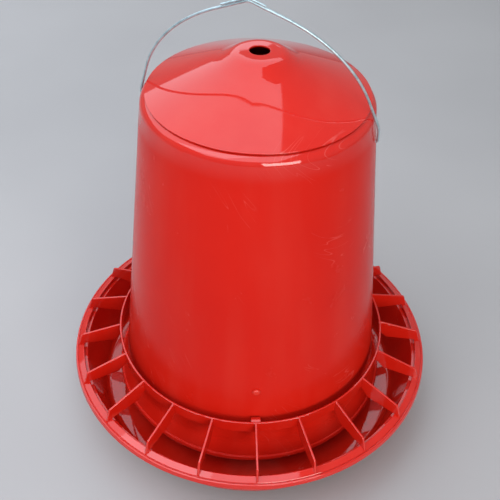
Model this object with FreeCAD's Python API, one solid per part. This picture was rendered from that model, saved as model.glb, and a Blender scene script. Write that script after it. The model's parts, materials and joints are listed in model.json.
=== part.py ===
import FreeCAD, Part
import math
import os

from FreeCAD import Vector

# Gravity poultry feeder: a tapered hopper hangs over a round pan on three slotted straps, a
# feed-saver grid rests on the pan's rim, a conical lid closes the hopper, and a wire bail swings
# over the lid.  Millimetres, +Z up.  The origin is the centre of the pan's foot, on the ground,
# and -Y is the front.

ORIGIN = Vector(0, 0, 0)
UP = Vector(0, 0, 1)
FRONT = -90.0           # turn about Z that carries a part built on +X to the front
TINY = 1e-6
EASY = 0.1              # gap between flat faces that slide past each other
RUNNING = 0.06          # radial clearance of a pin that turns in its hole

# pan
PAN_WALL = 3.0
FLOOR_Z = 22.0          # top of the pan's floor
FLOOR_R = 211.0         # where the floor line meets the wall line
FLOOR_BEND = 8.0
RIM_Z = 88.8
RIM_R = 231.5           # inner face of the rim
FLANGE_R = 240.0        # the rim is turned outwards, and the grid rests on it
FLANGE = 2.4
FOOT_R = 176.0          # inner face of the ring that the pan stands on
FOOT_WIDTH = 5.0
CONE_R = 115.0          # foot of the cone that sheds feed outwards
CONE_TOP_R = 10.0
CONE_TOP_Z = 80.0

# hopper
WALL = 3.0
TAPER = 0.1129          # loss of radius for each millimetre of height
BEND_Z = 78.5           # the wall flares out below this height
BEND_R = 176.2
SHOULDER_Z = 485.0
SHOULDER_BEND = 12.0
MOUTH_R = 112.0
BEAD = 3.5              # half the thickness of the rolled lower edge
BEAD_R = 184.3
BEAD_Z = 55.0

# lid
LID_R = 125.4
LID_EDGE_Z = 487.0
LID_SHEET = 2.3
CAP_R = 27.0            # flat cap round the hole
CAP_Z = 533.6
HOLE_R = 11.3
NECK_R = 46.0           # foot of the cap, where the cone starts
NECK_Z = 521.8
CENTRING_DEPTH = 7.0    # reach of the lid's inner ring into the hopper's mouth

# feed-saver grid
FINS = 21
FIN = 2.8
FIN_ROUND = 0.9         # rounding of a fin's two upper edges
RING_R = 180.9          # inner face of the inner ring
RING = 2.6
RING_TOP_Z = 127.7
RING_HEIGHT = 17.5
GRID_R = 248.8
BAND_R = 235.5          # inner edge of the outer ring's sloping band
BAND_Z = 95.2
BAND_OUT_R = 243.4      # outer edge of the band, where a groove sets off the rounded edge
BAND_OUT_Z = 91.3
SKIRT_Z = 84.4          # lower edge of the outer ring
FIN_LOW_R = 195.0       # where a fin's lower edge turns up to the inner ring
FIN_LOW_Z = 97.2
BEND_OUT_R = 237.5      # where a fin's top edge turns down to the outer ring
BEND_OUT_Z = 111.3
TABS = 3
TAB_WIDTH = 12.0
TAB_R = 173.3
TAB_TOP_Z = 128.4
TAB_ROUND = 1.0

# bail
WIRE = 1.5              # radius of the bail's wire
STRAND = 1.2            # radius of the short second strand on the crown
PIVOT_Z = 446.0
PIVOT_TURN = 72.5       # pivot axis, degrees round from the front
LEAN = 17.5             # the bail stands this far forward of upright
LEG = 137.2             # half the bail's width at its pivots
CROWN = 171.5           # height of the crown above the pivots, in the bail's own plane
HIP = (99.5, 127.3)     # where the straight pitch and the straight leg would meet
HIP_BEND = 165.0
KNEE_HEIGHT = 21.5      # where the leg turns upright

# adjusters: a strap from the pan, and a bolt and wing nut that clamp the hopper to it
ADJUSTERS = 3
NAMES = ("front", "right", "left")
STRAP = 2.5
STRAP_WIDTH = 24.0
STRAP_R = 152.0         # outer face of the upright
STRAP_TOP_Z = 190.0
STRAP_FOOT_R = 122.0
FOOT_SCREWS_R = (130.0, 142.5)
BOLT = 2.5              # radius of every bolt and screw
SHANK = 9.0             # reach of a foot screw below the pan's floor
BOLT_Z = 167.5
DROP = 25.0             # travel of the hopper below its rest height
RISE = 10.0             # travel above it
SLOT = 2.9              # half the slot's width
SEAT = 0.6              # the bolt's seat stands this far out of the hopper's wall
WASHER = 1.0


def corner_arc(before, corner, after, radius):
    """The arc that rounds one corner of a path."""
    u = (before - corner).normalize()
    v = (after - corner).normalize()
    half = u.getAngle(v) / 2
    reach = radius / math.tan(half)
    inward = (u + v).normalize() * (radius / math.sin(half) - radius)
    return Part.Arc(corner + u * reach, corner + inward, corner + v * reach)


def rounded(corners, closed):
    """Straight runs joined by tangent arcs, from (point, bend radius) corners."""
    count = len(corners)
    spans = []
    for index, (corner, radius) in enumerate(corners):
        if radius and (closed or 0 < index < count - 1):
            after = corners[(index + 1) % count][0]
            arc = corner_arc(corners[index - 1][0], corner, after, radius)
            spans.append((arc.StartPoint, arc.EndPoint, arc))
        else:
            spans.append((corner, corner, None))
    edges = []
    for index, (start, end, arc) in enumerate(spans):
        if arc:
            edges.append(arc.toShape())
        following = spans[(index + 1) % count][0]
        if (closed or index < count - 1) and end.distanceToPoint(following) > TINY:
            edges.append(Part.makeLine(end, following))
    return Part.Wire(edges)


def section(corners):
    """A closed outline in the XZ plane, from (radius, height, bend) corners."""
    full = [corner if len(corner) == 3 else (*corner, 0) for corner in corners]
    return Part.Face(rounded([(Vector(r, 0, z), bend) for r, z, bend in full], True))


def turned(corners):
    """A solid of revolution about Z."""
    return section(corners).revolve(ORIGIN, UP, 360)


def ring(inner, outer, low, high):
    return turned([(inner, low), (outer, low), (outer, high), (inner, high)])


def plate(corners, thickness):
    """A flat plate standing in the XZ plane, half its thickness on each side."""
    slab = section(corners).extrude(Vector(0, thickness, 0))
    return slab.translated(Vector(0, -thickness / 2, 0))


def spun(shape, turn):
    return shape.rotated(ORIGIN, UP, turn)


def spread(shape, count):
    """Copies of a shape evenly round Z, the first of them at the front."""
    return [spun(shape, FRONT + step * 360 / count) for step in range(count)]


def rod(radius, start, end):
    return Part.makeCylinder(radius, start.distanceToPoint(end), start, end - start)


def radial(radius, r_from, r_to, z):
    """A round bar along +X, from one distance to another."""
    return rod(radius, Vector(r_from, 0, z), Vector(r_to, 0, z))


def wire(corners, radius):
    """Round wire bent along a path of (point, bend radius) corners."""
    path = rounded(corners, False)
    start = corners[0][0]
    heading = corners[1][0] - start
    end_face = Part.Wire(Part.makeCircle(radius, start, heading))
    return path.makePipeShell([end_face], True, True)


def hopper_radius(z):
    """Outer radius of the hopper's straight wall."""
    return BEND_R + (BEND_Z - z) * TAPER


def pan():
    lean = (RIM_R - FLOOR_R) / (RIM_Z - FLOOR_Z)
    under_z = FLOOR_Z - PAN_WALL
    outside_r = RIM_R + PAN_WALL
    under_r = outside_r - (RIM_Z - under_z) * lean
    flange_z = RIM_Z - FLANGE
    slope = math.atan2(CONE_TOP_Z - FLOOR_Z, CONE_R - CONE_TOP_R)
    inset = PAN_WALL * math.tan(slope / 2)
    bowl = turned([
        (0, CONE_TOP_Z), (CONE_TOP_R, CONE_TOP_Z, 5), (CONE_R, FLOOR_Z, 12),
        (FLOOR_R, FLOOR_Z, FLOOR_BEND), (RIM_R, RIM_Z, 1.2), (FLANGE_R, RIM_Z, 1.1),
        (FLANGE_R, flange_z, 1.1), (outside_r - FLANGE * lean, flange_z, 1.5),
        (under_r, under_z, FLOOR_BEND + PAN_WALL),
        (FOOT_R + FOOT_WIDTH, under_z, 1), (FOOT_R + FOOT_WIDTH, 0, 1),
        (FOOT_R, 0, 1), (FOOT_R, under_z, 1),
        (CONE_R - inset, under_z, 9), (CONE_TOP_R - inset, CONE_TOP_Z - PAN_WALL, 3),
        (0, CONE_TOP_Z - PAN_WALL),
    ])
    holes = []
    for r in FOOT_SCREWS_R:
        holes += spread(rod(BOLT + RUNNING, Vector(r, 0, 0), Vector(r, 0, CONE_TOP_Z)), ADJUSTERS)
    return bowl.cut(holes)


def hopper_shell():
    """The wall, its shoulder and mouth, flared below to a rolled edge."""
    top_r = hopper_radius(SHOULDER_Z)
    along = Vector(BEAD_R - BEND_R, 0, BEAD_Z - BEND_Z).normalize()
    across = Vector(-along.z, 0, along.x)

    def edge(ahead, aside, bend):
        corner = Vector(BEAD_R, 0, BEAD_Z) + along * ahead + across * aside
        return corner.x, corner.z, bend

    return turned([
        (MOUTH_R, SHOULDER_Z, 1.2), (top_r, SHOULDER_Z, SHOULDER_BEND), (BEND_R, BEND_Z, 24),
        edge(-BEAD, WALL / 2, 0.7), edge(-BEAD, BEAD, 1.2), edge(BEAD, BEAD, BEAD - 0.2),
        edge(BEAD, -BEAD, BEAD - 0.2), edge(-BEAD, -BEAD, 1.2), edge(-BEAD, -WALL / 2, 0.7),
        (BEND_R - WALL, BEND_Z, 24), (top_r - WALL, SHOULDER_Z - WALL, SHOULDER_BEND - WALL),
        (MOUTH_R, SHOULDER_Z - WALL, 1.2),
    ])


def hopper():
    """The shell, with bosses for the adjusting bolts and for the bail's two ends."""
    added = []
    holes = []
    boss_face = STRAP_R + EASY
    seat = hopper_radius(BOLT_Z) + SEAT
    added += spread(radial(10, boss_face, seat - WALL, BOLT_Z), ADJUSTERS)
    added += spread(radial(5.4, boss_face + 2, seat, BOLT_Z), ADJUSTERS)
    holes += spread(radial(BOLT + RUNNING, boss_face - 1, seat + 1, BOLT_Z), ADJUSTERS)
    wall_r = hopper_radius(PIVOT_Z)
    for side in (0, 180):
        turn = FRONT + PIVOT_TURN + side
        added.append(spun(radial(8, wall_r - 2 * WALL, wall_r - WALL / 2, PIVOT_Z), turn))
        holes.append(spun(radial(WIRE + RUNNING, wall_r - 3 * WALL, wall_r + WALL, PIVOT_Z), turn))
    return hopper_shell().fuse(added).cut(holes)


def lid():
    """A cone with a flat pierced cap, a ring that seats it and a ring that centres it."""
    cap_under = CAP_Z - LID_SHEET
    slope = (NECK_Z - LID_EDGE_Z) / (LID_R - NECK_R)
    cone = turned([
        (HOLE_R, CAP_Z + 0.4, 0.7), (CAP_R, CAP_Z, 20), (NECK_R, NECK_Z, 60),
        (LID_R, LID_EDGE_Z, 0.5), (LID_R - 0.9, LID_EDGE_Z - 2.1, 0.5),
        (NECK_R - 1.1, NECK_Z - 2.0, 60), (CAP_R - 0.9, cap_under, 16),
        (HOLE_R, cap_under + 0.4, 0.7),
    ])
    rings = []
    centring = (MOUTH_R - 4.4, 2.4, SHOULDER_Z - CENTRING_DEPTH)
    seating = (MOUTH_R + 1.8, 2.0, SHOULDER_Z + 0.2)
    for inner, width, low in (centring, seating):
        inside_cone = LID_EDGE_Z + (LID_R - inner - width) * slope - LID_SHEET / 2
        rings.append(ring(inner, inner + width, low, inside_cone))
    return cone.fuse(rings)


def fin():
    """One upright plate from the inner ring to the outer ring's band."""
    blank = plate([
        (RING_R + 1, RING_TOP_Z - 0.1), (BEND_OUT_R, BEND_OUT_Z, 4), (BAND_OUT_R + 0.2, BAND_OUT_Z + 0.5),
        (BAND_OUT_R - 0.8, BAND_OUT_Z - 0.8), (BAND_R + 1.6, BAND_Z - 2.4), (BAND_R + 0.4, BAND_Z - 1.4),
        (FIN_LOW_R, FIN_LOW_Z, 6), (RING_R + 1, RING_TOP_Z - RING_HEIGHT + 0.1),
    ], FIN)
    top_edges = []
    for edge in blank.Edges:
        centre = edge.CenterOfMass
        if centre.x > RING_R + 5 and centre.z > BAND_Z + 4 and abs(centre.y) > FIN / 2 - TINY:
            top_edges.append(edge)
    return blank.makeFillet(FIN_ROUND, top_edges)


def grid():
    """One moulding: inner ring, fins, three centring tabs, and an outer ring with a lip and a skirt."""
    ring_low_z = RING_TOP_Z - RING_HEIGHT
    inner_ring = turned([
        (RING_R, RING_TOP_Z, 0.8), (RING_R + RING, RING_TOP_Z, 0.8),
        (RING_R + RING, ring_low_z, 0.8), (RING_R, ring_low_z, 0.8),
    ])
    lip_z = RIM_Z + 2 * EASY
    outer_ring = turned([
        (BAND_R, BAND_Z, 0.9), (BAND_OUT_R, BAND_OUT_Z, 0.5), (BAND_OUT_R + 1.0, BAND_OUT_Z - 1.2, 0.4),
        (BAND_OUT_R + 2.0, BAND_OUT_Z + 0.3, 0.8), (GRID_R - 1.4, BAND_OUT_Z - 0.3, 1.2),
        (GRID_R, SKIRT_Z, 0.9), (GRID_R - 2.3, SKIRT_Z, 0.9), (BAND_OUT_R + 2.2, BAND_OUT_Z - 3.3, 1.0),
        (BAND_R + 2.6, BAND_Z - 3.4, 0.8), (BAND_R + 2.3, lip_z, 0.7), (BAND_R, lip_z, 0.7),
    ])
    tab = plate([
        (TAB_R, TAB_TOP_Z - 1.4, 1.2), (RING_R - 3, TAB_TOP_Z, 3), (RING_R + 1.5, RING_TOP_Z - 1.6),
        (RING_R + 1.5, RING_TOP_Z - 7), (RING_R - 0.5, RING_TOP_Z - 7, 3), (TAB_R, TAB_TOP_Z - 4.4, 1.2),
    ], TAB_WIDTH)
    long_edges = []
    for edge in tab.Edges:
        centre = edge.CenterOfMass
        if centre.x < RING_R - 0.6 and abs(centre.y) > TAB_WIDTH / 2 - TINY:
            long_edges.append(edge)
    tab = tab.makeFillet(TAB_ROUND, long_edges)
    return inner_ring.fuse([outer_ring] + spread(fin(), FINS) + spread(tab, TABS))


def in_bail_plane(across, up):
    """A point of the bail, from its distance along the pivot axis and its height in the plane."""
    turn = math.radians(FRONT + PIVOT_TURN)
    lean = math.radians(LEAN)
    along = Vector(math.cos(turn), math.sin(turn), 0)
    forward = Vector(math.sin(turn), -math.cos(turn), 0)
    upward = UP * math.cos(lean) + forward * math.sin(lean)
    return Vector(0, 0, PIVOT_Z) + along * across + upward * up


def bail():
    """Galvanised wire: a straight pitch each side of the crown, round shoulders, hooked ends."""
    hook_r = hopper_radius(PIVOT_Z) - 9.0
    half = [
        (*HIP, HIP_BEND), (LEG, KNEE_HEIGHT, 50), (LEG, 0.0, 2.6),
        (hook_r, 0.0, 2.6), (hook_r, -10.0, 0),
    ]
    left = [(in_bail_plane(-across, up), bend) for across, up, bend in reversed(half)]
    right = [(in_bail_plane(across, up), bend) for across, up, bend in half]
    return wire(left + [(in_bail_plane(0, CROWN), 8)] + right, WIRE)


def crown_strand():
    """A short strand of thinner wire that doubles the crown, touching the bail from above."""
    pitch = math.atan2(CROWN - HIP[1], HIP[0])
    offset = WIRE + STRAND - 0.05
    lift = offset / math.cos(pitch)
    path = []
    for across, bend in ((-28.0, 0), (0, 8 + offset), (17.0, 0)):
        up = CROWN + lift - abs(across) * math.tan(pitch)
        path.append((in_bail_plane(across, up), bend))
    return wire(path, STRAND)


def strap():
    """A flat steel angle: its foot lies on the pan's floor and its upright carries the slot."""
    angle = plate([
        (STRAP_FOOT_R, FLOOR_Z), (STRAP_R, FLOOR_Z, 5), (STRAP_R, STRAP_TOP_Z, 0.6),
        (STRAP_R - STRAP, STRAP_TOP_Z, 0.6), (STRAP_R - STRAP, FLOOR_Z + STRAP, 2.5),
        (STRAP_FOOT_R, FLOOR_Z + STRAP),
    ], STRAP_WIDTH)
    low = BOLT_Z - DROP
    high = BOLT_Z + RISE
    inside = STRAP_R - 2 * STRAP
    slot = Part.makeBox(3 * STRAP, 2 * SLOT, high - low, Vector(inside, -SLOT, low))
    cuts = [slot]
    for end in (low, high):
        cuts.append(radial(SLOT, inside, inside + 3 * STRAP, end))
    for r in FOOT_SCREWS_R:
        cuts.append(rod(BOLT + RUNNING, Vector(r, 0, 0), Vector(r, 0, STRAP_TOP_Z / 2)))
    return angle.cut(cuts)


def foot_screw(r):
    """A pan-head screw, down through the strap's foot and the pan's floor."""
    head_z = FLOOR_Z + STRAP
    shank = rod(BOLT, Vector(r, 0, FLOOR_Z - SHANK), Vector(r, 0, head_z + 1))
    head = Part.makeCylinder(4.6, 2.8, Vector(r, 0, head_z))
    head = head.makeFillet(1.2, [edge for edge in head.Edges if edge.CenterOfMass.z > head_z + 2.7])
    slit = Part.makeBox(12, 1.2, 1.5, Vector(r - 6, -0.6, head_z + 1.7))
    return head.fuse(shank).cut(slit)


def foot_washer(r):
    top = FLOOR_Z - PAN_WALL
    disc = Part.makeCylinder(6.0, WASHER, Vector(r, 0, top - WASHER))
    return disc.cut(rod(BOLT + RUNNING, Vector(r, 0, 0), Vector(r, 0, top + 1)))


def foot_nut(r):
    top = FLOOR_Z - PAN_WALL - WASHER
    corners = [Vector(r, 0, top - 4) + Vector(4.6, 0, 0)]
    for step in range(1, 7):
        turn = math.radians(60 * step)
        corners.append(Vector(r + 4.6 * math.cos(turn), 4.6 * math.sin(turn), top - 4))
    block = Part.Face(Part.makePolygon(corners)).extrude(Vector(0, 0, 4))
    return block.cut(rod(BOLT + RUNNING / 2, Vector(r, 0, 0), Vector(r, 0, top + 1)))


def adjuster_bolt():
    """A low-headed bolt, from its seat outside the hopper to inside the wing nut."""
    seat = hopper_radius(BOLT_Z) + SEAT
    head = radial(4.2, seat, seat + 1.8, BOLT_Z)
    head = head.makeFillet(1.4, [edge for edge in head.Edges if edge.CenterOfMass.x > seat + 1.7])
    return head.fuse(radial(BOLT, STRAP_R - STRAP - 12, seat + 1, BOLT_Z))


def adjuster_washer():
    inner_face = STRAP_R - STRAP - EASY
    disc = radial(6.5, inner_face - WASHER, inner_face, BOLT_Z)
    return disc.cut(radial(BOLT + RUNNING / 2, inner_face - 5, inner_face + 5, BOLT_Z))


def wing_nut():
    """A hub with two wings, screwed on from inside the hopper."""
    seat = STRAP_R - STRAP - WASHER - 2 * EASY
    hub = Part.makeCone(5.6, 4.6, 6.5, Vector(seat, 0, BOLT_Z), Vector(-1, 0, 0))
    pieces = []
    for side in (-1, 1):
        corners = [
            (0.9, 3.0, 0), (2.2, 8.5, 3), (6.4, 14.5, 2), (11.6, 15.5, 2),
            (12.6, 11.8, 1.6), (8.8, 7.8, 3), (6.2, 3.0, 0),
        ]
        points = [(Vector(seat - u, side * v, BOLT_Z - 1.2), bend) for u, v, bend in corners]
        pieces.append(Part.Face(rounded(points, True)).extrude(Vector(0, 0, 2.4)))
    return hub.fuse(pieces).cut(radial(BOLT + RUNNING, seat - 20, seat + 5, BOLT_Z))


def feet(make_one):
    """One fastener of each kind for every screw hole in the straps' feet."""
    group = []
    for r in FOOT_SCREWS_R:
        group += spread(make_one(r), ADJUSTERS)
    return Part.makeCompound(group)


def nodes():
    parts = {
        "pan": pan(),
        "hopper": hopper(),
        "lid": lid(),
        "grid": grid(),
        "bail": bail(),
        "crown_strand": crown_strand(),
        "foot_screws": feet(foot_screw),
        "foot_washers": feet(foot_washer),
        "foot_nuts": feet(foot_nut),
        "adjuster_bolts": Part.makeCompound(spread(adjuster_bolt(), ADJUSTERS)),
        "adjuster_washers": Part.makeCompound(spread(adjuster_washer(), ADJUSTERS)),
    }
    straps = spread(strap(), ADJUSTERS)
    nuts = spread(wing_nut(), ADJUSTERS)
    for name, one_strap, one_nut in zip(NAMES, straps, nuts):
        parts["strap_" + name] = one_strap
        parts["wing_nut_" + name] = one_nut
    return parts


os.makedirs("parts", exist_ok=True)
for node, shape in nodes().items():
    shape.exportStep(os.path.join("parts", node + ".step"))
    box = shape.BoundBox
    print(node, "valid" if shape.isValid() else "INVALID", len(shape.Solids), "solids",
          round(shape.Volume / 1000, 1), "cm3", "z", round(box.ZMin, 1), round(box.ZMax, 1))
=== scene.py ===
import json
import math
import bpy
from mathutils import Matrix, Vector

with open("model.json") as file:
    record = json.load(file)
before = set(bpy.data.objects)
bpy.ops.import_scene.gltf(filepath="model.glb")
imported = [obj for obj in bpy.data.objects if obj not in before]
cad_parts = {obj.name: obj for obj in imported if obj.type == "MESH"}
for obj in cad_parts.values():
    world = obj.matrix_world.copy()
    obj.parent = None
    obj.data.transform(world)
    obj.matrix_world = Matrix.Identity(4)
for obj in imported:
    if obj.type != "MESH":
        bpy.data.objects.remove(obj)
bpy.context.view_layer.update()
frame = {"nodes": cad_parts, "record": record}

# ---- camera: in front of the feeder and a little above its bail, looking down on it ----
CAMERA_AT = Vector((-0.0451, -0.7378, 0.9045))
CAMERA_YAW = 0.0558         # to the right of straight ahead; these three are in radians
CAMERA_DOWN = 0.7240
CAMERA_ROLL = 0.0308
CAMERA_LENS = 54.33         # in millimetres, as is the sensor
CAMERA_SENSOR = 36
CAMERA_NEAR = 0.05

# ---- colours, linear ----
RED = ((0.49, 0.009, 0.004), (0.54, 0.012, 0.005))
RED_NYLON = ((0.58, 0.03, 0.02), (0.66, 0.04, 0.025))
RED_WORN = (0.62, 0.10, 0.07, 1)
# pale red painted along convex edges as a highlight
RED_EDGE_HIGHLIGHT = (0.80, 0.16, 0.12, 1)
RED_SCRATCHED = (0.85, 0.36, 0.32, 1)
WIRE = ((0.36, 0.49, 0.53), (0.52, 0.66, 0.70))
STRIP = ((0.44, 0.46, 0.48), (0.62, 0.64, 0.66))
ZINC = ((0.50, 0.51, 0.52), (0.66, 0.66, 0.68))
FLOOR = ((0.34, 0.34, 0.338), (0.37, 0.37, 0.367))
SKY = (0.86, 0.90, 1.0)
AMBIENT = (0.95, 0.97, 1.0, 1)
WARM = (1.0, 0.96, 0.92)

# ---- surfaces ----
PLASTIC_IOR = 1.49
SHINY = 0.66                # specular level of the glossy mouldings
MATT = 0.12                 # and of the hopper's wall, which is duller than its shoulder
WALL_TOP = (0.455, 0.475)   # heights between which the wall's dullness gives way to the shoulder's shine
GLOSS = 0.04                # roughness of the glossy mouldings
NYLON_GLOSS = 0.12

# ---- light: metres and watts ----
AMBIENT_STRENGTH = 0.40
CEILING_Z = 2.0
CEILING_TURN = math.radians(-37)
CEILING_POWER = 5.1         # for each square metre
CEILING_BOXES = {           # place across and along the turned ceiling, then size
    "overhead_left": ((-2.0, -0.1), (4.3, 3.8)),
    "overhead_far_left": ((-2.95, 2.8), (2.4, 2.0)),
}
FRONT_BOX = ((-0.85, -1.17, 1.99), (3.0, 2.06), 40)
FILL_BOX = ((0.9, -2.6, 1.0), (1.6, 1.2), 50)
FILL_AIM = Vector((0, 0, 0.25))
FLOOR_REACH = 6


def aim_camera():
    forward = Vector((
        math.sin(CAMERA_YAW) * math.cos(CAMERA_DOWN),
        math.cos(CAMERA_YAW) * math.cos(CAMERA_DOWN),
        -math.sin(CAMERA_DOWN),
    ))
    level = Vector((math.cos(CAMERA_YAW), -math.sin(CAMERA_YAW), 0))
    above = level.cross(forward)
    right = math.cos(CAMERA_ROLL) * level + math.sin(CAMERA_ROLL) * above
    up = math.cos(CAMERA_ROLL) * above - math.sin(CAMERA_ROLL) * level
    data = bpy.data.cameras.new("camera")
    data.lens = CAMERA_LENS
    data.sensor_width = CAMERA_SENSOR
    data.clip_start = CAMERA_NEAR
    camera = bpy.data.objects.new("camera", data)
    camera.matrix_world = Matrix((
        (right.x, up.x, -forward.x, CAMERA_AT.x),
        (right.y, up.y, -forward.y, CAMERA_AT.y),
        (right.z, up.z, -forward.z, CAMERA_AT.z),
        (0, 0, 0, 1),
    ))
    bpy.context.scene.collection.objects.link(camera)
    bpy.context.scene.camera = camera


class Maker:
    """Makes one material: adds its shader nodes and joins them."""

    def __init__(self, name):
        self.material = bpy.data.materials.new(name)
        self.material.use_nodes = True
        self.tree = self.material.node_tree
        self.shader = self.tree.nodes["Principled BSDF"]
        self.place = self.node("TexCoord").outputs["Object"]

    def node(self, kind, inputs=None, **settings):
        made = self.tree.nodes.new("ShaderNode" + kind)
        for key, value in settings.items():
            setattr(made, key, value)
        for key, value in (inputs or {}).items():
            if isinstance(value, bpy.types.NodeSocket):
                self.tree.links.new(value, made.inputs[key])
            else:
                made.inputs[key].default_value = value
        return made

    def link(self, socket, key):
        self.tree.links.new(socket, self.shader.inputs[key])

    def put(self, value, key):
        self.shader.inputs[key].default_value = value

    def noise(self, place, scale, detail, **more):
        made = self.node("TexNoise", {"Vector": place, "Scale": scale, "Detail": detail, **more})
        return made.outputs["Fac"]

    def mapped(self, place, **settings):
        return self.node("Mapping", {"Vector": place, **settings}).outputs["Vector"]

    def math(self, operation, *values):
        return self.node("Math", dict(enumerate(values)), operation=operation).outputs["Value"]

    def mix(self, kind, factor, first, second):
        return self.node("Mix", {"Factor": factor, "A": first, "B": second}, data_type=kind).outputs["Result"]

    def bump(self, height, strength, distance, **more):
        made = self.node("Bump", {"Height": height, "Strength": strength, "Distance": distance, **more})
        return made.outputs["Normal"]

    def ramp(self, socket, low, high, from_low, from_high):
        """Two colours, from one level of the socket's value to another."""
        made = self.node("ValToRGB", {"Fac": socket})
        for element, level, colour in zip(made.color_ramp.elements, (from_low, from_high), (low, high)):
            element.position = level
            element.color = (*colour, 1)
        return made.outputs["Color"]

    def spread(self, socket, low, high, from_low=0.3, from_high=0.7):
        """A number that runs from low to high while the socket's value runs from one level to another."""
        made = self.node("MapRange", {
            "Value": socket, "From Min": from_low, "From Max": from_high, "To Min": low, "To Max": high,
        })
        return made.outputs["Result"]


# ---- moulded plastic ----
def hairlines(m):
    """Sparse fine scratches: the thin level lines of a stretched noise, kept where a slower noise is high."""
    turned = m.mapped(m.place, Rotation=(0.5, 0.3, 0.9))
    drawn = m.mapped(turned, Scale=(1.0, 0.06, 0.06))
    field = m.noise(drawn, 150.0, 1.0, Distortion=0.3)
    away = m.math("ABSOLUTE", m.math("SUBTRACT", field, 0.5))
    line = m.spread(away, 1.0, 0.0, 0.0, 0.008)
    where = m.spread(m.noise(m.place, 14.0, 3.0), 0.0, 0.14, 0.57, 0.68)
    return m.math("MULTIPLY", line, where)


def plastic_colour(m, low, high, scratch):
    """A slow cloud of two reds, with paler flow marks and scratches over it, and a highlight painted in a
    paler red along the convex edges.
    """
    body = m.ramp(m.noise(m.place, 5.0, 3.0), low, high, 0.3, 0.7)
    flow = m.noise(m.mapped(m.place, Scale=(1.0, 1.0, 0.12)), 26.0, 4.0)
    worn = m.mix("RGBA", m.spread(flow, 0.0, 0.10, 0.45, 0.8), body, RED_WORN)
    # painted highlight: where pointiness finds a convex edge, the red is made paler as if the edge caught the
    # light
    edge = m.node("NewGeometry").outputs["Pointiness"]
    edge_highlit = m.mix("RGBA", m.spread(edge, 0.0, 0.22, 0.53, 0.62), worn, RED_EDGE_HIGHLIGHT)
    m.link(m.mix("RGBA", scratch, edge_highlit, RED_SCRATCHED), "Base Color")


def plastic_gloss(m, gloss, dull, scratch):
    """Cloudy roughness, more of it in the scratches and, if dull is given, below those two heights."""
    cloudy = m.noise(m.place, 30.0, 5.0, Roughness=0.6)
    rough = m.spread(cloudy, gloss - 0.01, gloss + 0.02)
    m.put(SHINY, "Specular IOR Level")
    if dull:
        height = m.node("SeparateXYZ", {"Vector": m.place}).outputs["Z"]
        shine = m.spread(height, 0.0, 1.0, *dull)
        m.link(m.spread(shine, MATT, SHINY, 0.0, 1.0), "Specular IOR Level")
        rough = m.mix("FLOAT", shine, m.spread(cloudy, gloss + 0.16, gloss + 0.24), rough)
    m.link(m.math("ADD", rough, m.math("MULTIPLY", scratch, 0.8)), "Roughness")
    m.put(PLASTIC_IOR, "IOR")


def plastic_relief(m):
    """A moulding's slow waves, and orange peel."""
    slow = m.bump(m.noise(m.place, 9.0, 1.0), 0.12, 0.0016)
    m.link(m.bump(m.noise(m.place, 650.0, 2.0), 0.05, 0.00012, Normal=slow), "Normal")


def plastic(name, colours, gloss, dull=None):
    m = Maker(name)
    scratch = hairlines(m)
    plastic_colour(m, *colours, scratch)
    plastic_gloss(m, gloss, dull, scratch)
    plastic_relief(m)
    return m.material


# ---- zinc ----
def galvanised(name, colours, rough):
    """Crystals of two greys, and a fine grain."""
    m = Maker(name)
    crystals = m.node("TexVoronoi", {"Vector": m.place, "Scale": 260.0}).outputs["Color"]
    grey = m.node("SeparateColor", {"Color": crystals}).outputs["Red"]
    m.link(m.ramp(grey, *colours, 0.0, 1.0), "Base Color")
    grain = m.noise(m.place, 900.0, 3.0)
    m.link(m.spread(grain, rough - 0.08, rough + 0.1), "Roughness")
    m.link(m.bump(grain, 0.25, 0.0003), "Normal")
    m.put(0.85, "Metallic")
    return m.material


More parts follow.
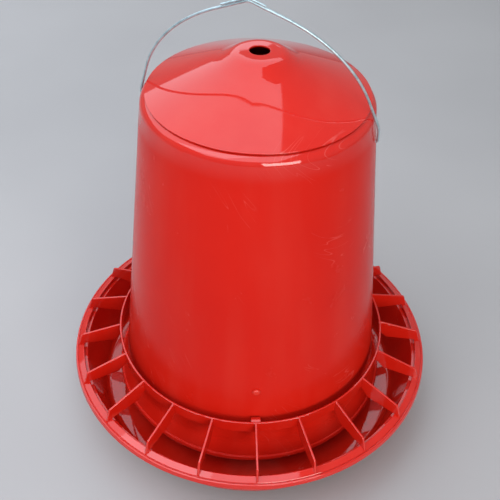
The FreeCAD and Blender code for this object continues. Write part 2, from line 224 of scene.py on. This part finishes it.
def dress():
    """Puts each node's material on it; the hopper's wall has one of its own."""
    wall = plastic("red_plastic_wall", RED, GLOSS, WALL_TOP)
    of_slot = {
        "red_plastic": plastic("red_plastic", RED, GLOSS),
        "red_nylon": plastic("red_nylon", RED_NYLON, NYLON_GLOSS),
        "galvanised_wire": galvanised("galvanised_wire", WIRE, 0.42),
        "galvanised_steel": galvanised("galvanised_strip", STRIP, 0.36),
        "zinc_fasteners": galvanised("zinc_plate", ZINC, 0.28),
    }
    slot_of = {part["node"]: part["material_slot"] for part in frame["record"]["subparts"]}
    for name, node in frame["nodes"].items():
        node.data.materials.clear()
        node.data.materials.append(wall if name == "hopper" else of_slot[slot_of[name]])


# ---- studio ----
def lay_floor():
    mesh = bpy.data.meshes.new("floor")
    corners = [(x * FLOOR_REACH, y * FLOOR_REACH, 0) for x, y in ((-1, -1), (1, -1), (1, 1), (-1, 1))]
    mesh.from_pydata(corners, [], [(0, 1, 2, 3)])
    floor = bpy.data.objects.new("floor", mesh)
    bpy.context.scene.collection.objects.link(floor)
    m = Maker("floor")
    m.link(m.ramp(m.noise(m.place, 2.0, 2.0), *FLOOR, 0.3, 0.7), "Base Color")
    m.put(0.9, "Roughness")
    mesh.materials.append(m.material)


def light(name, at, size, power, colour):
    """A softbox that faces down."""
    data = bpy.data.lights.new(name, "AREA")
    data.shape = "RECTANGLE"
    data.size, data.size_y = size
    data.energy = power
    data.color = colour
    lamp = bpy.data.objects.new(name, data)
    lamp.location = at
    bpy.context.scene.collection.objects.link(lamp)
    return lamp


def light_scene():
    """Three softboxes overhead, to the left and in front, and a weaker low fill from the front."""
    world = bpy.data.worlds.new("studio")
    world.use_nodes = True
    background = world.node_tree.nodes["Background"]
    background.inputs["Color"].default_value = AMBIENT
    background.inputs["Strength"].default_value = AMBIENT_STRENGTH
    bpy.context.scene.world = world
    across = Vector((math.cos(CEILING_TURN), math.sin(CEILING_TURN), 0))
    along = Vector((-math.sin(CEILING_TURN), math.cos(CEILING_TURN), 0))
    for name, (place, size) in CEILING_BOXES.items():
        at = across * place[0] + along * place[1] + Vector((0, 0, CEILING_Z))
        box = light(name, at, size, CEILING_POWER * size[0] * size[1], SKY)
        box.rotation_euler = (0, 0, CEILING_TURN)
    light("overhead_front", *FRONT_BOX, SKY)
    fill = light("fill", *FILL_BOX, WARM)
    fill.rotation_euler = (FILL_AIM - fill.location).to_track_quat("-Z", "Y").to_euler()
    bpy.context.scene.view_settings.view_transform = "Standard"


aim_camera()
lay_floor()
light_scene()
dress()
